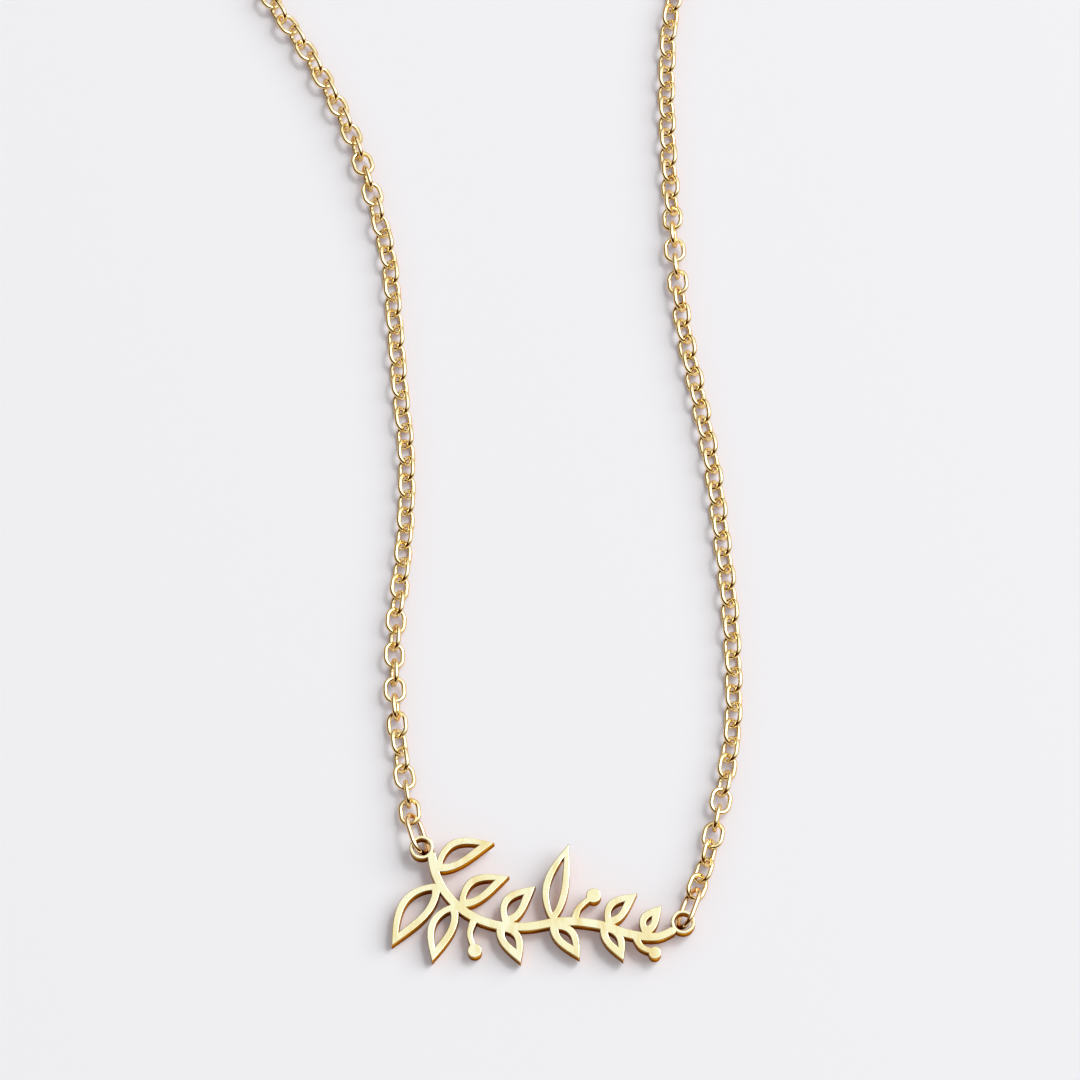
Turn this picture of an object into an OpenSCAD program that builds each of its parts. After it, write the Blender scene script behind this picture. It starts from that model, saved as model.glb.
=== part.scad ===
// Gold chain necklace with a pierced vine plate, lying on a table as one closed loop.
// Millimetres. The table is z = 0, +Z up, +Y away from the viewer, origin in the middle of the footprint.

/* [Chain] */
// Thickness of the chain's wire
wire = 0.48; // [0.3:0.01:0.6]
// Length of one link over its wire
link_l = 2.96; // [2.2:0.02:4]
// Width of one link over its wire
link_w = 2.35; // [1.8:0.05:3.2]
// Air between two links that hold each other
link_gap = 0.13; // [0.05:0.01:0.2]

/* [Vine plate] */
// Distance across between the two eyes
vine_w = 25.8; // [20:0.2:40]
// Height of the vine above its stem
vine_h = 12; // [8:0.2:20]
// Thickness of the plate
plate_t = 1.5; // [0.8:0.1:2.5]
// Width of the vine's stem
stem_w = 0.9; // [0.7:0.05:1.2]
// Width of the band around a leaf's opening
band_w = 0.75; // [0.6:0.05:1]
// Size of the largest berry
berry_d = 1.5; // [1:0.1:2.2]
// Width of the metal around an eye
eye_band = 0.35; // [0.3:0.05:0.6]
// Room for the ring's wire in an eye
eye_play = 1.22; // [1.1:0.02:2]

/* [Rings] */
// Thickness of the rings' wire
ring_wire = 0.5; // [0.4:0.02:0.6]
// Room in a ring's width beside the plate's thickness
ring_play = 0.72; // [0.7:0.02:1.5]
// How much longer than wide a ring is
ring_stretch = 1.4; // [1:0.1:2.5]
// Air between a ring and the link or clasp in its end
ring_gap = 0.27; // [0.15:0.01:0.4]

/* [Clasp] */
// Outside of the clasp's round body
clasp_d = 6; // [5:0.5:8]
// Thickness of the clasp's body
clasp_wire = 1.1; // [0.9:0.1:1.4]
// Thickness of the clasp's eye
clasp_eye_wire = 0.5; // [0.4:0.05:0.7]
// Hole of the clasp's eye
clasp_eye_hole = 1.4; // [1.2:0.1:2]

/* [Hidden] */
gold = [0.86, 0.7, 0.36];
// Air under what lies on the table
rest_gap = 0.02;

// Layout points are counted from a place this much nearer than the middle of the loop.
middle_y = 50.3;

// Plate: its lower left corner, eyes, and the lift under its eyes, which lie on the rings' wire
vine_at = [-11.7, -44.4];
eye_hole = ring_wire + eye_play;
eye_d = eye_hole + 2 * eye_band;
eye_left = vine_at + [0, 0.9 * vine_h];
eye_right = vine_at + [vine_w, 0.258 * vine_h];
eye_line = atan2(eye_right[1] - eye_left[1], eye_right[0] - eye_left[0]);
plate_lift = ring_wire + 0.19;

// Rings: each hangs in its eye along its own direction, rolled about its length.
ring_w = plate_t + 2 * ring_wire + ring_play;
ring_l = ring_w + ring_stretch;
ring_half = (ring_l - ring_wire) / 2;
ring_past_eye = 0.48;
dir_left = 108;
dir_right = 69.5;
roll_ring_left = 60;
roll_ring_right = -62;
roll_end_ring = 60;
hold = (ring_wire + wire) / 2 + ring_gap;
first_link = 2 * ring_half - ring_past_eye + (link_l - wire) / 2 - hold;

// Clasp at the far end: the left chain holds its eye, the end ring holds its body and the right chain.
clasp_at = [-0.5, 142.9];
clasp_body = (clasp_d - clasp_wire) / 2;
clasp_eye = (clasp_eye_hole + clasp_eye_wire) / 2;
eye_offset = clasp_body + clasp_wire / 2 + clasp_eye_hole / 2 - 0.1;
end_offset = clasp_body - (clasp_wire + ring_wire) / 2 - 1.5 * ring_gap + ring_half;
link_before = eye_offset + clasp_eye + (link_l - wire) / 2 - (clasp_eye_wire + wire) / 2 - ring_gap;
link_after = end_offset + ring_half + (link_l - wire) / 2 - hold;

// Chosen points of the two chains on the table, from the plate to the clasp
route_left = [
  eye_left + first_link * [cos(dir_left), sin(dir_left)],
  [-13.3, -27.4], [-13.8, -24.4], [-14.3, -20.8], [-14.7, -15], [-14.6, -9.3], [-14.1, -3.6],
  [-13.7, 3], [-13.8, 9.8], [-14.4, 15.5], [-14.9, 21.2], [-15.3, 26], [-15.8, 31], [-17, 36.3], [-18.6, 42],
  [-20.5, 47.1], [-23, 52.3], [-25.7, 57.1], [-28.4, 61.2], [-32.6, 69], [-36.2, 77.5], [-38.9, 86.5],
  [-40.4, 96.5], [-39.8, 108], [-36.7, 119], [-30.8, 128.6], [-22.6, 136.3], [-14.3, 140.9],
  clasp_at - [link_before, 0]
];
route_right = [
  eye_right + first_link * [cos(dir_right), sin(dir_right)],
  [16.4, -35.2], [17.3, -31.7], [18.4, -26.6], [19.3, -21], [19.5, -15.1], [19.2, -7.3], [18.5, 0.2],
  [17.7, 7.7], [16.4, 15.4], [15, 23], [14.2, 30.7], [13.8, 38.2], [13.5, 45.8], [13.5, 53.5], [14.2, 61.2],
  [17, 68.8], [22.3, 75.6], [28.8, 81.6], [34.8, 88.2], [39, 96.6], [40.2, 106.6], [37.7, 117.6], [31.9, 127.4],
  [23.5, 135.4], [14.6, 140.5],
  clasp_at + [link_after, 0]
];
// Roll of the even links along each chain: [link, degrees]. The odd links stand a quarter turn on.
roll_left = [
  [0, -16], [1, 0], [2, 17], [3, 34], [4, 51], [5, 66], [6, 80], [7, 94], [8, 106], [9, 115], [11, 117], [14, 135],
  [34, 135], [36, 120], [38, 97], [39, 94], [41, 112], [52, 115], [60, 135], [200, 135]
];
roll_right = [
  [0, 36], [1, 48], [2, 61], [3, 75], [4, 90], [5, 105], [6, 120], [8, 135], [34, 138], [36, 160], [37, 172],
  [38, 178], [39, 168], [41, 145], [44, 137], [200, 137]
];

// Vine, in shares of its width and height from the lower left corner.
// Stem and stalks: [across, up, width as a share of the stem's]
stem = [
  [0.039, 0.825, 1],
  [0.054, 0.675, 1],
  [0.097, 0.5, 1],
  [0.174, 0.342, 1],
  [0.283, 0.242, 1],
  [0.407, 0.225, 1],
  [0.539, 0.267, 1],
  [0.671, 0.242, 1],
  [0.795, 0.158, 1],
  [0.895, 0.133, 0.95],
  [0.957, 0.183, 0.9]
];
stalks = [
  [[0.585, 0.275, 0.9], [0.601, 0.375, 0.7], [0.643, 0.458, 0.65]],
  [[0.205, 0.3, 0.9], [0.186, 0.175, 0.7], [0.198, 0.067, 0.65]],
  [[0.818, 0.142, 0.9], [0.837, 0.058, 0.7], [0.872, 0.017, 0.65]]
];
// Berries: [across, up, size as a share of the largest]
berries = [[0.659, 0.483, 1], [0.205, 0.025, 0.95], [0.891, 0, 0.85]];
// Leaves: [root across, root up, tip across, tip up, half width, bow to the left], the last two as shares of the height
leaves = [
  [0.05, 0.7, 0.279, 0.933, 0.117, 0.058],
  [0.07, 0.592, -0.112, 0.067, 0.133, -0.042],
  [0.143, 0.392, 0.337, 0.65, 0.108, 0.05],
  [0.132, 0.425, 0.043, -0.067, 0.113, -0.033],
  [0.314, 0.233, 0.438, 0.567, 0.104, 0.042],
  [0.291, 0.242, 0.38, -0.083, 0.092, 0.033],
  [0.5, 0.258, 0.566, 0.925, 0.108, 0.033],
  [0.492, 0.25, 0.605, -0.05, 0.092, 0.033],
  [0.705, 0.225, 0.826, 0.5, 0.092, 0.033],
  [0.686, 0.233, 0.771, -0.067, 0.083, 0.029],
  [0.849, 0.142, 0.919, 0.4, 0.079, 0.025]
];
function on_vine(across, up) = vine_at + [across * vine_w, up * vine_h];

// The plate slopes down from its eyes until its lowest leaf tip lies on the table.
plate_reach = max([
  for (l = leaves) let (tip = on_vine(l[2], l[3]) - eye_left) tip[0] * sin(eye_line) - tip[1] * cos(eye_line)
]);
plate_slope = asin((plate_lift - rest_gap) / plate_reach);

// Smooth curve through a list of points, eight steps for each gap
function at(p, i) = p[max(0, min(len(p) - 1, i))];
function bend(a, b, c, d, t) =
  0.5 * (2 * b + (c - a) * t + (2 * a - 5 * b + 4 * c - d) * t * t + (3 * b - a - 3 * c + d) * t * t * t);
function smooth(p) = [
  for (i = [0 : len(p) - 2]) for (k = [0 : 7]) bend(at(p, i - 1), at(p, i), at(p, i + 1), at(p, i + 2), k / 8),
  at(p, len(p) - 1)
];

// Height of a link's centre: the steeper one of each two links stands on the table.
function link_height(roll) = (link_w - wire) / 2 * max(abs(sin(roll)), abs(cos(roll))) + wire / 2 + rest_gap;

// Edge of a pointed leaf along +X, drawn in from the root and the tip by start and stop
function leaf_edge(length, half, bow, start, stop) = let (run = length - start - stop) concat(
  [for (k = [0 : 20]) let (x = start + run * k / 20) [x, bow * sin(180 * x / length) + half * sin(180 * pow(k / 20, 0.8))]],
  [for (k = [19 : -1 : 1]) let (x = start + run * k / 20) [x, bow * sin(180 * x / length) - half * sin(180 * pow(k / 20, 0.8))]]
);

// Oval ring of round wire, its length along X
module oval_ring(length, width, d) {
  turn = (width - d) / 2;
  half = (length - width) / 2;
  for (side = [0, 180]) rotate([0, 0, side]) {
    translate([half, 0, 0]) rotate([0, 0, -90])
      rotate_extrude(angle = 180, $fn = 40) translate([turn, 0]) circle(d = d, $fn = 16);
    translate([-half, turn, 0]) rotate([0, 90, 0]) cylinder(d = d, h = 2 * half, $fn = 16);
  }
}

// Raised band along a smooth curve of vine points, round at both ends
module vine_band(points) {
  line = smooth([for (p = points) concat(on_vine(p[0], p[1]), p[2] * stem_w)]);
  last = len(line) - 1;
  spine = [for (p = line) [p[0], p[1]]];
  side = [
    for (i = [0 : last]) let (d = spine[min(last, i + 1)] - spine[max(0, i - 1)]) [-d[1], d[0]] / norm(d) * line[i][2] / 2
  ];
  linear_extrude(height = plate_t)
    polygon(concat([for (i = [0 : last]) spine[i] + side[i]], [for (i = [last : -1 : 0]) spine[i] - side[i]]));
  for (i = [0, last]) translate(spine[i]) cylinder(d = line[i][2], h = plate_t, $fn = 24);
}

// Leaf with an opening, from its root to its tip
module leaf(root, tip, half, bow) {
  d = tip - root;
  translate(root) rotate(atan2(d[1], d[0])) difference() {
    linear_extrude(height = plate_t) polygon(leaf_edge(norm(d), half, bow, 0, 0));
    translate([0, 0, -1]) linear_extrude(height = plate_t + 2)
      polygon(leaf_edge(norm(d), half - band_w, bow, band_w * 1.4, band_w * 2));
  }
}

module vine() {
  vine_band(stem);
  for (s = stalks) vine_band(s);
  for (b = berries) translate(on_vine(b[0], b[1])) cylinder(d = b[2] * berry_d, h = plate_t, $fn = 32);
  for (e = [eye_left, eye_right]) translate(e) difference() {
    cylinder(d = eye_d, h = plate_t, $fn = 48);
    translate([0, 0, -1]) cylinder(d = eye_hole, h = plate_t + 2, $fn = 48);
  }
  for (l = leaves) leaf(on_vine(l[0], l[1]), on_vine(l[2], l[3]), l[4] * vine_h, l[5] * vine_h);
}

module vine_plate() {
  translate([eye_left[0], eye_left[1], plate_lift]) rotate([0, 0, eye_line]) rotate([plate_slope, 0, 0])
    rotate([0, 0, -eye_line]) translate(-eye_left) vine();
}

// Ring that hangs in an eye of the plate, rolled about its length
module jump_ring(eye, direction, roll) {
  lift = (ring_w - ring_wire) / 2 * abs(sin(roll)) + ring_wire / 2 + rest_gap;
  centre = eye + (ring_half - ring_past_eye) * [cos(direction), sin(direction)];
  translate([centre[0], centre[1], lift]) rotate([roll, 0, direction]) oval_ring(ring_l, ring_w, ring_wire);
}

// Plain closed clasp: a thick round body and a small eye, held up by the link and the ring that pass under it
module clasp() {
  translate([clasp_at[0], clasp_at[1], ring_wire + 0.2 + clasp_wire / 2]) {
    rotate_extrude($fn = 64) translate([clasp_body, 0]) circle(d = clasp_wire, $fn = 24);
    translate([-eye_offset, 0, 0]) rotate_extrude($fn = 48) translate([clasp_eye, 0]) circle(d = clasp_eye_wire, $fn = 16);
  }
}

module end_ring() {
  lift = (ring_w - ring_wire) / 2 * sin(roll_end_ring) + ring_wire / 2 + rest_gap;
  translate([clasp_at[0] + end_offset, clasp_at[1], lift]) rotate([roll_end_ring, 0, 0]) oval_ring(ring_l, ring_w, ring_wire);
}

// Chain of ovals along a smooth route. Its hidden stretch twists slowly so that the last link has the end roll.
module chain(route, rolls, end_roll) {
  line = smooth(route);
  last = len(line) - 1;
  steps = [for (i = [1 : last]) norm(line[i] - line[i - 1])];
  sums = [for (i = 0, s = 0; i <= last; s = s + (i < last ? steps[i] : 0), i = i + 1) s];
  along_x = [for (i = [0 : last]) [sums[i], line[i][0]]];
  along_y = [for (i = [0 : last]) [sums[i], line[i][1]]];
  count = ceil(sums[last] / (link_l - 2 * wire - link_gap));
  pitch = sums[last] / count;
  twist = (end_roll - lookup(count, rolls) - 90 * (count % 2) + 900) % 180;
  roll = [
    for (i = [-1 : count + 1])
      lookup(i, rolls) + (twist > 90 ? twist - 180 : twist) * max(0, min(1, (i - count + 20) / 20))
  ];
  for (i = [0 : count]) {
    s = i * pitch;
    climb = link_height(roll[i + 2]) - link_height(roll[i]);
    dx = lookup(s + pitch / 3, along_x) - lookup(s - pitch / 3, along_x);
    dy = lookup(s + pitch / 3, along_y) - lookup(s - pitch / 3, along_y);
    translate([lookup(s, along_x), lookup(s, along_y), link_height(roll[i + 1])])
      rotate([0, -atan2(climb, 2 * pitch), atan2(dy, dx)])
        rotate([roll[i + 1] + 90 * (i % 2), 0, 0]) oval_ring(link_l, link_w, wire);
  }
}

module at_middle() translate([0, -middle_y, 0]) children();

color(gold) at_middle() vine_plate();
color(gold) at_middle() jump_ring(eye_left, dir_left, roll_ring_left);  // ring_left
color(gold) at_middle() jump_ring(eye_right, dir_right, roll_ring_right);  // ring_right
color(gold) at_middle() chain(route_left, roll_left, 90);  // chain_left
color(gold) at_middle() chain(route_right, roll_right, 90 - roll_end_ring);  // chain_right
color(gold) at_middle() clasp();
color(gold) at_middle() end_ring();
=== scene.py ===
"""Gold vine-plate necklace lying on a pale table, dressed around its CAD model."""
import math

import bmesh
import bpy
import numpy as np
from mathutils import Matrix, Vector


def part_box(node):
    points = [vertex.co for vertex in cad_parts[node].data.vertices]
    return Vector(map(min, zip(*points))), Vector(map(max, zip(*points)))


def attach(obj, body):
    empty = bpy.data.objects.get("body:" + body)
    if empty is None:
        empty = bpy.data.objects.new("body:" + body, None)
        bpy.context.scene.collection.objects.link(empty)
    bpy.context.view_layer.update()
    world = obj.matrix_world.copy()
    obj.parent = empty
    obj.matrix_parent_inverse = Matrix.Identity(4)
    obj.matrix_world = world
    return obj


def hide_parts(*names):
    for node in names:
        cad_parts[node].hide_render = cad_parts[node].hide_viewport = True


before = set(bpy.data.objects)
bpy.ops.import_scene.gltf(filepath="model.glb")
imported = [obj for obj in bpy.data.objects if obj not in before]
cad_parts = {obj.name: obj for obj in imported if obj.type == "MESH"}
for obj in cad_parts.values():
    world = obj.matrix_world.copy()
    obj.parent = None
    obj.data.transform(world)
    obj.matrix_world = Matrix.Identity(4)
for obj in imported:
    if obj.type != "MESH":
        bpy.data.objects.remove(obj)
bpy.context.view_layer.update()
MM = 0.001

# Sizes in millimetres, as in the part
CHAIN_WIRE = 0.48
LINK_LENGTH = 2.96
LINK_WIDTH = 2.35
LINK_GAP = 0.13
RING_WIRE = 0.5
RING_GAP = 0.27
RING_PLAY = 0.72
RING_STRETCH = 1.4
RING_PAST_EYE = 0.48
PLATE_THICKNESS = 1.5
CLASP_DIAMETER = 6
CLASP_WIRE = 1.1
CLASP_EYE_WIRE = 0.5
CLASP_EYE_HOLE = 1.4
CLASP_EYE_OVERLAP = 0.1
TABLE_GAP = 0.02
# The photograph's middle lies this much nearer to the plate than the loop's middle
LOOP_MIDDLE = 50.3

ring_width = PLATE_THICKNESS + 2 * RING_WIRE + RING_PLAY
ring_length = ring_width + RING_STRETCH
ring_half = (ring_length - RING_WIRE) / 2
ring_hold = (RING_WIRE + CHAIN_WIRE) / 2 + RING_GAP
half_link = (LINK_LENGTH - CHAIN_WIRE) / 2
first_link = 2 * ring_half - RING_PAST_EYE + half_link - ring_hold
clasp_body = (CLASP_DIAMETER - CLASP_WIRE) / 2
clasp_eye = (CLASP_EYE_HOLE + CLASP_EYE_WIRE) / 2
eye_offset = clasp_body + CLASP_WIRE / 2 + CLASP_EYE_HOLE / 2 - CLASP_EYE_OVERLAP
end_ring_offset = clasp_body - (CLASP_WIRE + RING_WIRE) / 2 - 1.5 * RING_GAP + ring_half
link_before_clasp = eye_offset + clasp_eye + half_link - (CLASP_EYE_WIRE + CHAIN_WIRE) / 2 - RING_GAP
link_after_clasp = end_ring_offset + ring_half + half_link - ring_hold

# Directions and rolls of the jump rings in degrees
LEFT_RING_DIRECTION = 108
RIGHT_RING_DIRECTION = 69.5
LEFT_RING_ROLL = 60
RIGHT_RING_ROLL = -62
END_RING_ROLL = 60

# Places on the table in millimetres, counted from the photograph's middle
VINE_CORNER = np.array([-11.7, -44.4])
VINE_WIDTH = 25.8
VINE_HEIGHT = 12
EYE_LEFT = VINE_CORNER + [0, 0.9 * VINE_HEIGHT]
EYE_RIGHT = VINE_CORNER + [VINE_WIDTH, 0.258 * VINE_HEIGHT]
CLASP_CENTRE = np.array([-0.5, 142.9])


def towards(degrees):
    return np.array([math.cos(math.radians(degrees)), math.sin(math.radians(degrees))])


LEFT_ROUTE = [
    EYE_LEFT + first_link * towards(LEFT_RING_DIRECTION),
    (-13.3, -27.4), (-13.8, -24.4), (-14.3, -20.8), (-14.7, -15), (-14.6, -9.3), (-14.1, -3.6),
    (-13.7, 3), (-13.8, 9.8), (-14.4, 15.5), (-14.9, 21.2), (-15.3, 26), (-15.8, 31), (-17, 36.3),
    (-18.6, 42), (-20.5, 47.1), (-23, 52.3), (-25.7, 57.1), (-28.4, 61.2), (-32.6, 69), (-36.2, 77.5),
    (-38.9, 86.5), (-40.4, 96.5), (-39.8, 108), (-36.7, 119), (-30.8, 128.6), (-22.6, 136.3), (-14.3, 140.9),
    CLASP_CENTRE - [link_before_clasp, 0],
]
RIGHT_ROUTE = [
    EYE_RIGHT + first_link * towards(RIGHT_RING_DIRECTION),
    (16.4, -35.2), (17.3, -31.7), (18.4, -26.6), (19.3, -21), (19.5, -15.1), (19.2, -7.3), (18.5, 0.2),
    (17.7, 7.7), (16.4, 15.4), (15, 23), (14.2, 30.7), (13.8, 38.2), (13.5, 45.8), (13.5, 53.5), (14.2, 61.2),
    (17, 68.8), (22.3, 75.6), (28.8, 81.6), (34.8, 88.2), (39, 96.6), (40.2, 106.6), (37.7, 117.6),
    (31.9, 127.4), (23.5, 135.4), (14.6, 140.5),
    CLASP_CENTRE + [link_after_clasp, 0],
]
# Steps of the smooth curve between two points of a route
ROUTE_STEPS = 8
# Roll of the even links along each chain: (link, degrees)
LEFT_ROLLS = [
    (0, -16), (1, 0), (2, 17), (3, 34), (4, 51), (5, 66), (6, 80), (7, 94), (8, 106), (9, 115), (11, 117),
    (14, 135), (34, 135), (36, 120), (38, 97), (39, 94), (41, 112), (52, 115), (60, 135), (200, 135),
]
RIGHT_ROLLS = [
    (0, 36), (1, 48), (2, 61), (3, 75), (4, 90), (5, 105), (6, 120), (8, 135), (34, 138), (36, 160),
    (37, 172), (38, 178), (39, 168), (41, 145), (44, 137), (200, 137),
]
# Last links of each chain, over which it turns to suit the clasp or its ring
LINKS_TO_TURN = 20


def smooth_route(points):
    """Points of a smooth curve through the route, ROUTE_STEPS for each gap."""
    p = np.array([points[0], *points, points[-1]], float)
    t = (np.arange(ROUTE_STEPS) / ROUTE_STEPS)[:, None]
    runs = []
    for a, b, c, d in zip(p, p[1:], p[2:], p[3:]):
        bend = 2 * a - 5 * b + 4 * c - d
        twist = 3 * b - a - 3 * c + d
        runs.append(0.5 * (2 * b + (c - a) * t + bend * t**2 + twist * t**3))
    return np.vstack([*runs, p[-1:]])


def turn_about(roll, pitch, heading):
    """Rotation by a roll about the length, then a pitch, then a heading on the table, in degrees."""
    return (
        Matrix.Rotation(math.radians(heading), 3, "Z")
        @ Matrix.Rotation(math.radians(pitch), 3, "Y")
        @ Matrix.Rotation(math.radians(roll), 3, "X")
    )


def link_height(roll):
    """Height of a link's middle that keeps it and its quarter-turned neighbour clear of the table."""
    reach = max(abs(math.sin(math.radians(roll))), abs(math.cos(math.radians(roll))))
    return (LINK_WIDTH - CHAIN_WIRE) / 2 * reach + CHAIN_WIRE / 2 + TABLE_GAP


def chain_places(route, rolls, end_roll):
    """Centre in metres and rotation of each link along a route."""
    line = smooth_route(route)
    along = np.concatenate([[0], np.cumsum(np.linalg.norm(np.diff(line, axis=0), axis=1))])
    count = math.ceil(along[-1] / (LINK_LENGTH - 2 * CHAIN_WIRE - LINK_GAP))
    pitch = along[-1] / count

    def on_route(s):
        return np.array([np.interp(s, along, line[:, 0]), np.interp(s, along, line[:, 1])])

    def listed_roll(i):
        return np.interp(i, *zip(*rolls))

    spare = (end_roll - listed_roll(count) - 90 * (count % 2)) % 180
    spare = spare - 180 if spare > 90 else spare

    def roll_of(i):
        return listed_roll(i) + spare * max(0, min(1, (i - count + LINKS_TO_TURN) / LINKS_TO_TURN))

    places = []
    for i in range(count + 1):
        climb = link_height(roll_of(i + 1)) - link_height(roll_of(i - 1))
        step = on_route((i + 1 / 3) * pitch) - on_route((i - 1 / 3) * pitch)
        x, y = on_route(i * pitch)
        centre = Vector((x, y - LOOP_MIDDLE, link_height(roll_of(i)))) * MM
        tip = -math.degrees(math.atan2(climb, 2 * pitch))
        heading = math.degrees(math.atan2(step[1], step[0]))
        places.append((centre, turn_about(roll_of(i) + 90 * (i % 2), tip, heading)))
    return places


def ring_place(centre, roll, heading):
    lift = (ring_width - RING_WIRE) / 2 * abs(math.sin(math.radians(roll))) + RING_WIRE / 2 + TABLE_GAP
    return Vector((centre[0], centre[1] - LOOP_MIDDLE, lift)) * MM, turn_about(roll, 0, heading)


# Shader groups: each is built once and placed in the golds that use it, with their own values.


def shader_group(name, inputs, outputs):
    group = bpy.data.node_groups.new(name, "ShaderNodeTree")
    for label, kind, value in inputs:
        group.interface.new_socket(label, in_out="INPUT", socket_type=kind).default_value = value
    for label, kind in outputs:
        group.interface.new_socket(label, in_out="OUTPUT", socket_type=kind)
    return group, group.nodes.new("NodeGroupInput"), group.nodes.new("NodeGroupOutput")


def feed(tree, socket, value):
    """Link a socket to another node's output, or set its value."""
    if isinstance(value, bpy.types.NodeSocket):
        tree.links.new(value, socket)
    else:
        socket.default_value = value


def math_node(tree, operation, first, second=0, clamp=False):
    node = tree.nodes.new("ShaderNodeMath")
    node.operation = operation
    node.use_clamp = clamp
    feed(tree, node.inputs[0], first)
    feed(tree, node.inputs[1], second)
    return node.outputs[0]


def contrast(tree, value, slope, start):
    """The value times a slope, less a start, held between 0 and 1."""
    return math_node(tree, "SUBTRACT", math_node(tree, "MULTIPLY", value, slope), start, clamp=True)


def object_position(tree, scale):
    """Object coordinates in millimetres, stretched by scale."""
    mapping = tree.nodes.new("ShaderNodeMapping")
    mapping.inputs["Scale"].default_value = [s / MM for s in scale]
    tree.links.new(tree.nodes.new("ShaderNodeTexCoord").outputs["Object"], mapping.inputs["Vector"])
    return mapping.outputs["Vector"]


def noise(tree, vector, scale, detail=2, roughness=0.5):
    node = tree.nodes.new("ShaderNodeTexNoise")
    node.inputs["Detail"].default_value = detail
    node.inputs["Roughness"].default_value = roughness
    tree.links.new(vector, node.inputs["Vector"])
    feed(tree, node.inputs["Scale"], scale)
    return node.outputs["Fac"]


def blend_colours(tree, share, first, second):
    """From the first colour at share 0 to the second at 1; a colour is an output or three numbers."""
    node = tree.nodes.new("ShaderNodeMix")
    node.data_type = "RGBA"
    feed(tree, node.inputs[0], share)
    for socket, colour in ((node.inputs[6], first), (node.inputs[7], second)):
        feed(tree, socket, (*colour, 1) if isinstance(colour, tuple) else colour)
    return node.outputs[2]


def build_plating_group():
    """Plated gold: slow drifts of tint and gloss, and a fine haze of rubbed marks."""
    group, given, result = shader_group(
        "gold_plating",
        [
            ("Gold", "NodeSocketColor", (0.9, 0.75, 0.4, 1)),
            ("Deep Gold", "NodeSocketColor", (0.8, 0.6, 0.28, 1)),
            ("Drift Scale", "NodeSocketFloat", 0.3),
            ("Gloss", "NodeSocketFloat", 0.08),
            ("Haze", "NodeSocketFloat", 0.06),
        ],
        [("Colour", "NodeSocketColor"), ("Roughness", "NodeSocketFloat")],
    )
    place = object_position(group, (1, 1, 1))
    drift = noise(group, place, given.outputs["Drift Scale"], detail=3)
    share = contrast(group, drift, 2.6, 0.8)
    colour = blend_colours(group, share, given.outputs["Deep Gold"], given.outputs["Gold"])
    rubbed = noise(group, place, 3.5, detail=4, roughness=0.65)
    haze = math_node(group, "MULTIPLY", math_node(group, "POWER", rubbed, 2), given.outputs["Haze"])
    group.links.new(colour, result.inputs["Colour"])
    group.links.new(math_node(group, "ADD", given.outputs["Gloss"], haze), result.inputs["Roughness"])
    return group


def build_scratch_group():
    """Hair-fine polishing marks in two crossing directions, as a height."""
    group, given, result = shader_group(
        "polishing_marks",
        [("Fineness", "NodeSocketFloat", 9.0), ("Strength", "NodeSocketFloat", 1.0)],
        [("Height", "NodeSocketFloat")],
    )
    first = noise(group, object_position(group, (0.06, 1, 0.5)), given.outputs["Fineness"], detail=3)
    second = noise(group, object_position(group, (1, 0.09, 0.5)), given.outputs["Fineness"], detail=3)
    both = math_node(group, "MULTIPLY", first, second)
    group.links.new(math_node(group, "MULTIPLY", both, given.outputs["Strength"]), result.inputs["Height"])
    return group


def build_cut_wall_group():
    """Upright walls of sheet metal cut by a beam: a mask of the walls and their fine upright lines."""
    group, given, result = shader_group(
        "cut_walls",
        [("Line Scale", "NodeSocketFloat", 7.0)],
        [("Wall", "NodeSocketFloat"), ("Lines", "NodeSocketFloat")],
    )
    apart = group.nodes.new("ShaderNodeSeparateXYZ")
    group.links.new(group.nodes.new("ShaderNodeNewGeometry").outputs["Normal"], apart.inputs[0])
    upward = math_node(group, "ABSOLUTE", apart.outputs["Z"])
    wall = math_node(group, "SUBTRACT", 1.15, math_node(group, "MULTIPLY", upward, 1.6), clamp=True)
    upright = object_position(group, (1, 1, 0.05))
    lines = noise(group, upright, given.outputs["Line Scale"], detail=3, roughness=0.7)
    group.links.new(wall, result.inputs["Wall"])
    group.links.new(lines, result.inputs["Lines"])
    return group


PLATING = build_plating_group()
SCRATCHES = build_scratch_group()
CUT_WALLS = build_cut_wall_group()


def place_group(material, group, **values):
    node = material.node_tree.nodes.new("ShaderNodeGroup")
    node.node_tree = group
    for name, value in values.items():
        node.inputs[name.replace("_", " ")].default_value = value
    return node


def bump(tree, height, distance, strength):
    node = tree.nodes.new("ShaderNodeBump")
    node.inputs["Distance"].default_value = distance * MM
    node.inputs["Strength"].default_value = strength
    tree.links.new(height, node.inputs["Height"])
    return node.outputs["Normal"]


EDGE_TINT = (0.95, 0.54, 0.18)


def new_gold(name):
    material = bpy.data.materials.new(name)
    material.use_nodes = True
    metal = material.node_tree.nodes["Principled BSDF"]
    metal.inputs["Metallic"].default_value = 1
    metal.inputs["Specular Tint"].default_value = (*EDGE_TINT, 1)
    return material, material.node_tree, metal


def as_table_sees_it(tree, colour):
    """Colour for the eye and the mirror, and a dim one for the light that the table gets from the gold."""
    path = tree.nodes.new("ShaderNodeLightPath")
    return blend_colours(tree, path.outputs["Is Diffuse Ray"], colour, (0.68, 0.3, 0.15))


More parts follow.
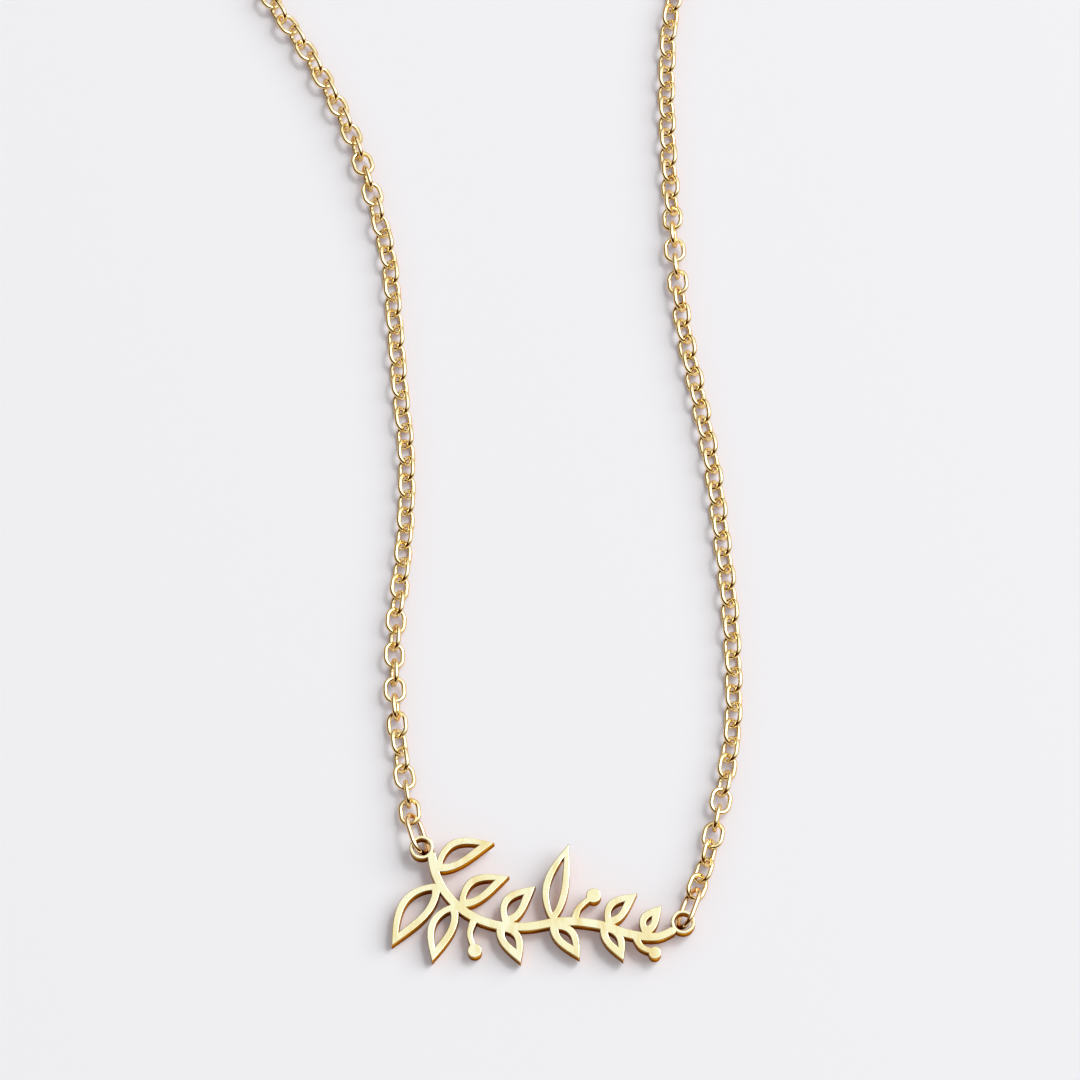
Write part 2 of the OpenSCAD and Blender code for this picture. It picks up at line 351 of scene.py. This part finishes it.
def make_polished_gold():
    """Plate: mirror-polished pale faces, and walls of a deeper gold, partly their own tone and partly painted
    shade, with cut lines and dark brown painted shade over their lower part.
    """
    material, tree, metal = new_gold("polished_gold_plate")
    plating = place_group(
        material,
        PLATING,
        Gold=(1, 1, 0.73, 1),
        Deep_Gold=(0.96, 0.89, 0.52, 1),
        Drift_Scale=0.25,
        Gloss=0.07,
        Haze=0.08,
    )
    walls = place_group(material, CUT_WALLS, Line_Scale=7)
    marks = place_group(material, SCRATCHES, Fineness=8, Strength=1)
    wall, lines = walls.outputs["Wall"], walls.outputs["Lines"]
    bands = noise(tree, object_position(tree, (0.9, 0.25, 1)), 1, detail=3)
    # Walls: cut lines, and dark brown painted shade over their lower part that reaches higher in some bands
    # than in others
    wall_height = tree.nodes.new("ShaderNodeAttribute")
    wall_height.attribute_name = "wall_height"
    shade_reach = math_node(tree, "SUBTRACT", math_node(tree, "ADD", bands, 0.3), wall_height.outputs["Fac"])
    foot = math_node(tree, "MULTIPLY", shade_reach, 3, clamp=True)
    lined = contrast(tree, lines, 2.2, 0.6)
    # Wall gold: deeper than the faces' gold, partly the walls' own tone and partly painted shade for the
    # shaded table that they mirror
    wall_gold = blend_colours(tree, lined, (0.75, 0.44, 0.09), (0.88, 0.6, 0.16))
    # Painted shade: dark brown over the lower part of each wall
    wall_gold = blend_colours(tree, foot, wall_gold, (0.13, 0.034, 0.003))
    # Faces: deeper gold in the bands
    banding = contrast(tree, bands, 4, 1.9)
    face_gold = blend_colours(tree, banding, plating.outputs["Colour"], (0.9, 0.74, 0.35))
    colour = blend_colours(tree, wall, face_gold, wall_gold)
    tree.links.new(as_table_sees_it(tree, colour), metal.inputs["Base Color"])
    tree.links.new(blend_colours(tree, wall, (1, 0.9, 0.66), EDGE_TINT), metal.inputs["Specular Tint"])
    metallic = math_node(tree, "ADD", 0.8, math_node(tree, "MULTIPLY", wall, 0.2))
    tree.links.new(metallic, metal.inputs["Metallic"])
    # Gloss: the walls are a little duller, and the faces turn satin when seen from low down
    glance = tree.nodes.new("ShaderNodeLayerWeight")
    glance.inputs["Blend"].default_value = 0.5
    low = contrast(tree, glance.outputs["Facing"], 2.5, 0.6)
    satin = math_node(tree, "MULTIPLY", low, math_node(tree, "SUBTRACT", 1, wall))
    rough = math_node(tree, "ADD", plating.outputs["Roughness"], math_node(tree, "MULTIPLY", wall, 0.06))
    rough = math_node(tree, "ADD", rough, math_node(tree, "MULTIPLY", satin, 0.6))
    tree.links.new(rough, metal.inputs["Roughness"])
    relief = math_node(tree, "MULTIPLY", marks.outputs["Height"], 0.08)
    relief = math_node(tree, "ADD", relief, math_node(tree, "MULTIPLY", lines, wall))
    tree.links.new(bump(tree, relief, 0.02, 0.25), metal.inputs["Normal"])
    return material


def make_gold_wire(name, gold, deep_gold):
    """Bright drawn wire, a little deeper in tint than the plate."""
    material, tree, metal = new_gold(name)
    tints = dict(Gold=(*gold, 1), Deep_Gold=(*deep_gold, 1))
    plating = place_group(material, PLATING, Drift_Scale=0.5, Gloss=0.04, Haze=0.05, **tints)
    marks = place_group(material, SCRATCHES, Fineness=12, Strength=1)
    tree.links.new(as_table_sees_it(tree, plating.outputs["Colour"]), metal.inputs["Base Color"])
    tree.links.new(plating.outputs["Roughness"], metal.inputs["Roughness"])
    tree.links.new(bump(tree, marks.outputs["Height"], 0.01, 0.12), metal.inputs["Normal"])
    return material


plate_gold = make_polished_gold()
chain_gold = make_gold_wire("chain_wire_gold", (1, 0.92, 0.6), (0.98, 0.85, 0.48))
ring_gold = make_gold_wire("ring_wire_gold", (1, 0.86, 0.62), (0.98, 0.77, 0.48))


# Geometry Nodes: one tree sets an oval of round wire at each given place.


def build_wire_oval_tree():
    """An oval of two half circles and two straights, swept with round wire and copied to each place.

    Steps Round is even and no multiple of four, so that no point lies on the line between the halves.
    """
    tree = bpy.data.node_groups.new("wire_ovals", "GeometryNodeTree")
    sockets = [
        ("Places", "NodeSocketGeometry", None),
        ("Length", "NodeSocketFloat", LINK_LENGTH * MM),
        ("Width", "NodeSocketFloat", LINK_WIDTH * MM),
        ("Wire", "NodeSocketFloat", CHAIN_WIRE * MM),
        ("Steps Round", "NodeSocketInt", 22),
        ("Wire Sides", "NodeSocketInt", 10),
        ("Gold", "NodeSocketMaterial", None),
    ]
    for label, kind, value in sockets:
        socket = tree.interface.new_socket(label, in_out="INPUT", socket_type=kind)
        if value is not None:
            socket.default_value = value
    tree.interface.new_socket("Wirework", in_out="OUTPUT", socket_type="NodeSocketGeometry")
    new, link = tree.nodes.new, tree.links.new
    given, result = new("NodeGroupInput").outputs, new("NodeGroupOutput")

    def number(operation, first, second=0):
        return math_node(tree, operation, first, second)

    turn = number("MULTIPLY", number("SUBTRACT", given["Width"], given["Wire"]), 0.5)
    straight = number("MULTIPLY", number("SUBTRACT", given["Length"], given["Width"]), 0.5)
    circle = new("GeometryNodeCurvePrimitiveCircle")
    link(given["Steps Round"], circle.inputs["Resolution"])
    link(turn, circle.inputs["Radius"])
    apart = new("ShaderNodeSeparateXYZ")
    link(new("GeometryNodeInputPosition").outputs[0], apart.inputs[0])
    shift = new("ShaderNodeCombineXYZ")
    link(number("MULTIPLY", number("SIGN", apart.outputs["X"]), straight), shift.inputs["X"])
    oval = new("GeometryNodeSetPosition")
    link(circle.outputs["Curve"], oval.inputs["Geometry"])
    link(shift.outputs[0], oval.inputs["Offset"])
    section = new("GeometryNodeCurvePrimitiveCircle")
    link(given["Wire Sides"], section.inputs["Resolution"])
    link(number("MULTIPLY", given["Wire"], 0.5), section.inputs["Radius"])
    wire = new("GeometryNodeCurveToMesh")
    link(oval.outputs["Geometry"], wire.inputs["Curve"])
    link(section.outputs["Curve"], wire.inputs["Profile Curve"])
    rounded = new("GeometryNodeSetShadeSmooth")
    link(wire.outputs["Mesh"], rounded.inputs["Geometry"])
    turned = new("GeometryNodeInputNamedAttribute")
    turned.data_type = "QUATERNION"
    turned.inputs["Name"].default_value = "turn"
    copies = new("GeometryNodeInstanceOnPoints")
    link(given["Places"], copies.inputs["Points"])
    link(rounded.outputs["Geometry"], copies.inputs["Instance"])
    link([s for s in turned.outputs if s.enabled][0], copies.inputs["Rotation"])
    real = new("GeometryNodeRealizeInstances")
    link(copies.outputs["Instances"], real.inputs["Geometry"])
    finish = new("GeometryNodeSetMaterial")
    link(real.outputs["Geometry"], finish.inputs["Geometry"])
    link(given["Gold"], finish.inputs["Material"])
    link(finish.outputs["Geometry"], result.inputs[0])
    return tree


WIRE_OVALS = build_wire_oval_tree()


def make_wirework(name, places, gold, **sizes):
    """One plain mesh of wire ovals, one at each place."""
    points = bpy.data.meshes.new(name + "_places")
    points.from_pydata([centre for centre, _ in places], [], [])
    turn = points.attributes.new("turn", "QUATERNION", "POINT")
    turn.data.foreach_set("value", [x for _, rotation in places for x in rotation.to_quaternion()])
    seed = bpy.data.objects.new(name + "_places", points)
    bpy.context.scene.collection.objects.link(seed)
    spread = seed.modifiers.new("wire_ovals", "NODES")
    spread.node_group = WIRE_OVALS
    values = {"Gold": gold, **{k.replace("_", " "): v for k, v in sizes.items()}}
    for item in WIRE_OVALS.interface.items_tree:
        if item.in_out == "INPUT" and item.name in values:
            spread[item.identifier] = values[item.name]
    bpy.context.view_layer.update()
    mesh = bpy.data.meshes.new_from_object(seed.evaluated_get(bpy.context.evaluated_depsgraph_get()))
    seed.modifiers.remove(spread)
    bpy.data.objects.remove(seed)
    mesh.name = name
    piece = bpy.data.objects.new(name, mesh)
    bpy.context.scene.collection.objects.link(piece)
    return piece


def stand_for(piece, node):
    """The piece takes a node's place, and prints how far its box is from the node's."""
    low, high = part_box(node)
    corners = np.array([v.co for v in piece.data.vertices])
    off = max(abs(corners.min(0) - low).max(), abs(corners.max(0) - high).max())
    print(f"{piece.name}: {len(piece.data.polygons)} faces, box {off / MM:.3f} mm from {node}")
    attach(piece, "root")
    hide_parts(node)


left_places = chain_places(LEFT_ROUTE, LEFT_ROLLS, 90)
right_places = chain_places(RIGHT_ROUTE, RIGHT_ROLLS, 90 - END_RING_ROLL)
stand_for(make_wirework("left_chain_links", left_places, chain_gold), "chain_left")
stand_for(make_wirework("right_chain_links", right_places, chain_gold), "chain_right")

ring_sizes = dict(
    Length=ring_length * MM, Width=ring_width * MM, Wire=RING_WIRE * MM, Steps_Round=54, Wire_Sides=24
)
left_centre = EYE_LEFT + (ring_half - RING_PAST_EYE) * towards(LEFT_RING_DIRECTION)
right_centre = EYE_RIGHT + (ring_half - RING_PAST_EYE) * towards(RIGHT_RING_DIRECTION)
rings = [
    ("left_jump_ring", "ring_left", left_centre, LEFT_RING_ROLL, LEFT_RING_DIRECTION),
    ("right_jump_ring", "ring_right", right_centre, RIGHT_RING_ROLL, RIGHT_RING_DIRECTION),
    ("clasp_jump_ring", "end_ring", CLASP_CENTRE + [end_ring_offset, 0], END_RING_ROLL, 0),
]
for name, node, centre, roll, heading in rings:
    ring = make_wirework(name, [ring_place(centre, roll, heading)], ring_gold, **ring_sizes)
    stand_for(ring, node)


def dress_node(node, gold):
    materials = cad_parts[node].data.materials
    for i in range(len(materials)):
        materials[i] = gold


dress_node("clasp", ring_gold)


# Plate: the CAD plate's outlines, smoothed, with both edges of each wall eased

# Size of the ease, and about the length of each step along an outline, in metres
PLATE_EASE = 0.11 * MM
WALL_STEP = 0.14 * MM
# An outline keeps a corner where it turns by more degrees than this
CORNER_TURN = 38
# No point of an eased edge moves inward by more than the ease divided by this
MITRE_LIMIT = 0.35


def plate_outlines():
    """The plate's own axes, the heights of its faces, and its upper outlines with the metal to their left."""
    shape = bmesh.new()
    shape.from_mesh(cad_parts["vine_plate"].data)
    bmesh.ops.remove_doubles(shape, verts=shape.verts, dist=0.0005 * MM)
    up = sum((f.normal * f.calc_area() for f in shape.faces if f.normal.z > 0.9), Vector()).normalized()
    across = (Vector((1, 0, 0)) - up * up.x).normalized()
    axes = Matrix((across, up.cross(across), up))
    top = max(v.co.dot(up) for v in shape.verts)
    bottom = min(v.co.dot(up) for v in shape.verts)
    onward = {}
    for face in shape.faces:
        if face.normal.dot(up) > 0.99 and face.calc_center_median().dot(up) > top - 0.01 * MM:
            for loop in face.loops:
                beside = [f for f in loop.edge.link_faces if f != face]
                if beside and beside[0].normal.dot(up) < 0.9:
                    onward[loop.vert.index] = (loop.link_loop_next.vert.index, (axes @ loop.vert.co).to_2d())
    shape.free()
    outlines = []
    while onward:
        start = here = next(iter(onward))
        outline = []
        while here in onward:
            here, point = onward.pop(here)
            outline.append(np.array(point))
        outlines.append(np.array(outline))
        assert here == start, "an outline of the plate is open"
    return axes, bottom, top, outlines


def rounded_outline(outline):
    """Smooth curve through an outline, with its corners kept; returns points and their corner flags."""
    ahead = np.roll(outline, -1, axis=0) - outline
    angle = np.arctan2(ahead[:, 1], ahead[:, 0])
    turn = np.abs((angle - np.roll(angle, 1) + math.pi) % (2 * math.pi) - math.pi)
    sharp = turn > math.radians(CORNER_TURN)
    points, flags = [], []
    for i in range(len(outline)):
        j = (i + 1) % len(outline)
        b, c = outline[i], outline[j]
        a = 2 * b - c if sharp[i] else outline[i - 1]
        d = 2 * c - b if sharp[j] else outline[(i + 2) % len(outline)]
        long = np.linalg.norm(c - b)
        before, after = max(np.linalg.norm(b - a), 1e-9), max(np.linalg.norm(d - c), 1e-9)
        m0 = ((b - a) / before * long + (c - b) * before / long) * long / (before + long)
        m1 = ((c - b) / long * after + (d - c) / after * long) * long / (after + long)
        steps = max(1, round(long / WALL_STEP))
        for t in np.arange(steps) / steps:
            near, far = (2 * t**3 - 3 * t**2 + 1) * b, (3 * t**2 - 2 * t**3) * c
            points.append(near + (t**3 - 2 * t**2 + t) * m0 + far + (t**3 - t**2) * m1)
            flags.append(bool(sharp[i]) and t == 0)
    return np.array(points), np.array(flags)


def outline_normals(points, sharp):
    """Normals of the wall that starts and of the one that ends at each point, and the way inward."""
    along = np.roll(points, -1, axis=0) - points
    along /= np.linalg.norm(along, axis=1)[:, None]
    out = np.stack([along[:, 1], -along[:, 0]], axis=1)
    out_before = np.roll(out, 1, axis=0)
    middle = out + out_before
    middle /= np.linalg.norm(middle, axis=1)[:, None]
    inward = -middle / np.maximum(np.sum(middle * out, axis=1), MITRE_LIMIT)[:, None]
    start = np.where(sharp[:, None], out, middle)
    finish = np.where(sharp[:, None], out_before, middle)
    return start, finish, inward


def wall_levels(bottom, top):
    """Inset, height and upward share of the normal at each level of a wall, from its foot to its top."""
    upper = []
    for angle in (0, 30, 60, 90):
        rise = math.sin(math.radians(angle))
        inset = PLATE_EASE * (1 - math.cos(math.radians(angle)))
        upper.append((inset, top - PLATE_EASE * (1 - rise), rise))
    return [(inset, bottom + top - height, -rise) for inset, height, rise in reversed(upper)] + upper


def make_polished_plate():
    """The vine plate with its edges eased by polishing, each wall and ease in its own true shade."""
    axes, bottom, top, outlines = plate_outlines()
    up, back = axes[2], axes.transposed()
    levels = wall_levels(bottom, top)
    shape = bmesh.new()
    shades = []
    caps = {0: [], len(levels) - 1: []}
    for outline in outlines:
        points, sharp = rounded_outline(outline)
        count = len(points)
        start, finish, inward = outline_normals(points, sharp)
        rows = []
        for inset, height, _ in levels:
            inset_points = points + inward * inset
            rows.append([shape.verts.new(back @ Vector((x, y, height))) for x, y in inset_points])
        for low in range(len(levels) - 1):
            high = low + 1
            for i in range(count):
                j = (i + 1) % count
                shape.faces.new((rows[low][i], rows[low][j], rows[high][j], rows[high][i]))
                for side, level in ((start[i], low), (finish[j], low), (finish[j], high), (start[i], high)):
                    rise = levels[level][2]
                    flat = math.sqrt(max(0, 1 - rise * rise))
                    shades.append(back @ Vector((side[0] * flat, side[1] * flat, rise)))
        for level, cap in caps.items():
            row = rows[level]
            cap.extend(shape.edges.get((row[i], row[(i + 1) % count])) for i in range(count))
    for level, cap in caps.items():
        facing = up if level else -up
        filled = bmesh.ops.triangle_fill(shape, use_beauty=True, edges=cap, normal=facing)
        for face in filled["geom"]:
            if isinstance(face, bmesh.types.BMFace):
                if face.normal.dot(facing) < 0:
                    face.normal_flip()
                shades.extend([facing] * 3)
    share_of_height = shape.verts.layers.float.new("wall_height")
    for vert in shape.verts:
        vert[share_of_height] = (vert.co.dot(up) - bottom) / (top - bottom)
    mesh = bpy.data.meshes.new("vine_plate_polished")
    shape.to_mesh(mesh)
    shape.free()
    mesh.shade_smooth()
    mesh.normals_split_custom_set([tuple(shade) for shade in shades])
    mesh.materials.append(plate_gold)
    plate = bpy.data.objects.new("vine_plate_polished", mesh)
    bpy.context.scene.collection.objects.link(plate)
    return plate


dress_node("vine_plate", plate_gold)
stand_for(make_polished_plate(), "vine_plate")


# Stage: a pale table, soft boxes and the camera of the photograph

# Half the table's side, where the lamps aim, and the camera's distance from what it aims at, in metres
TABLE_HALF = 2.5
LAMP_AIM = (0, -0.05, 0)
CAMERA_DISTANCE = 0.4615
# Degrees off the vertical
CAMERA_TILT = 22
# Focal length and side in the photograph's pixels, and the camera's sensor in millimetres
FOCAL_PIXELS = 4512
PHOTO_PIXELS = 1080
SENSOR_WIDTH = 36


def make_table():
    """Matt table with a faint light of its own; the gold mirrors it warmer and without that light."""
    material = bpy.data.materials.new("pale_table")
    material.use_nodes = True
    tree = material.node_tree
    paint = tree.nodes["Principled BSDF"]
    in_mirror = tree.nodes.new("ShaderNodeLightPath").outputs["Is Glossy Ray"]
    shade = blend_colours(tree, in_mirror, (0.84, 0.84, 0.856), (0.85, 0.75, 0.61))
    tree.links.new(shade, paint.inputs["Base Color"])
    paint.inputs["Roughness"].default_value = 0.9
    paint.inputs["Specular IOR Level"].default_value = 0.1
    glow = blend_colours(tree, in_mirror, (0.11, 0.11, 0.112), (0, 0, 0))
    tree.links.new(glow, paint.inputs["Emission Color"])
    paint.inputs["Emission Strength"].default_value = 1
    mesh = bpy.data.meshes.new("table")
    half = TABLE_HALF
    corners = [(-half, -half, 0), (half, -half, 0), (half, half, 0), (-half, half, 0)]
    mesh.from_pydata(corners, [], [(0, 1, 2, 3)])
    mesh.materials.append(material)
    table = bpy.data.objects.new("table", mesh)
    bpy.context.scene.collection.objects.link(table)


def soft_box(name, place, size, radiance, mirrored):
    """Square area light of one even brightness, aimed at LAMP_AIM, which the gold mirrors or not."""
    lamp = bpy.data.lights.new(name, "AREA")
    lamp.size = size
    lamp.energy = radiance * math.pi * size**2
    box = bpy.data.objects.new(name, lamp)
    bpy.context.scene.collection.objects.link(box)
    box.location = place
    box.rotation_euler = (Vector(LAMP_AIM) - Vector(place)).to_track_quat("-Z", "Y").to_euler()
    box.visible_glossy = mirrored


def make_studio():
    """A wide soft box on the right with a bright core, and the room that the gold mirrors."""
    soft_box("wide_box", (2, 0.65, 2.2), 3, 2.5, False)
    soft_box("core_box", (1.2, 0.8, 2.8), 0.6, 14, True)
    world = bpy.data.worlds.new("studio")
    bpy.context.scene.world = world
    world.use_nodes = True
    tree = world.node_tree

    def nearness(direction):
        node = tree.nodes.new("ShaderNodeVectorMath")
        node.operation = "DOT_PRODUCT"
        node.inputs[1].default_value = Vector(direction).normalized()
        tree.links.new(tree.nodes.new("ShaderNodeTexCoord").outputs["Generated"], node.inputs[0])
        return node.outputs["Value"]

    room = tree.nodes.new("ShaderNodeValToRGB")
    steps = room.color_ramp.elements
    steps[0].position, steps[0].color = 0.44, (0.06, 0.012, 0.001, 1)
    steps[1].position, steps[1].color = 0.9, (1, 1, 1, 1)
    steps.new(0.54).color = (0.58, 0.4, 0.19, 1)
    steps.new(0.66).color = (0.96, 0.93, 0.86, 1)
    tree.links.new(nearness((0.35, 0.35, 0.87)), room.inputs[0])
    past_edge = math_node(tree, "SUBTRACT", nearness((0.55, 0.15, 0.82)), 0.86)
    window = math_node(tree, "MULTIPLY", past_edge, 20, clamp=True)
    mirrored = blend_colours(tree, window, room.outputs[0], (3, 2.95, 2.85))
    path = tree.nodes.new("ShaderNodeLightPath")
    lit = blend_colours(tree, path.outputs["Is Glossy Ray"], (0.35, 0.35, 0.357), mirrored)
    seen = blend_colours(tree, path.outputs["Is Camera Ray"], lit, (0.8, 0.8, 0.82))
    tree.links.new(seen, tree.nodes["Background"].inputs["Color"])


def make_camera():
    """The photograph's camera, tilted and aimed at the photograph's middle on the table."""
    tilt = math.radians(CAMERA_TILT)
    lens = bpy.data.cameras.new("camera")
    lens.sensor_width = SENSOR_WIDTH
    lens.lens = FOCAL_PIXELS / PHOTO_PIXELS * SENSOR_WIDTH
    camera = bpy.data.objects.new("camera", lens)
    back, up = CAMERA_DISTANCE * math.sin(tilt), CAMERA_DISTANCE * math.cos(tilt)
    camera.location = (0, -back - LOOP_MIDDLE * MM, up)
    camera.rotation_euler = (tilt, 0, 0)
    bpy.context.scene.collection.objects.link(camera)
    bpy.context.scene.camera = camera


make_table()
make_studio()
make_camera()
bpy.context.scene.view_settings.view_transform = "Standard"
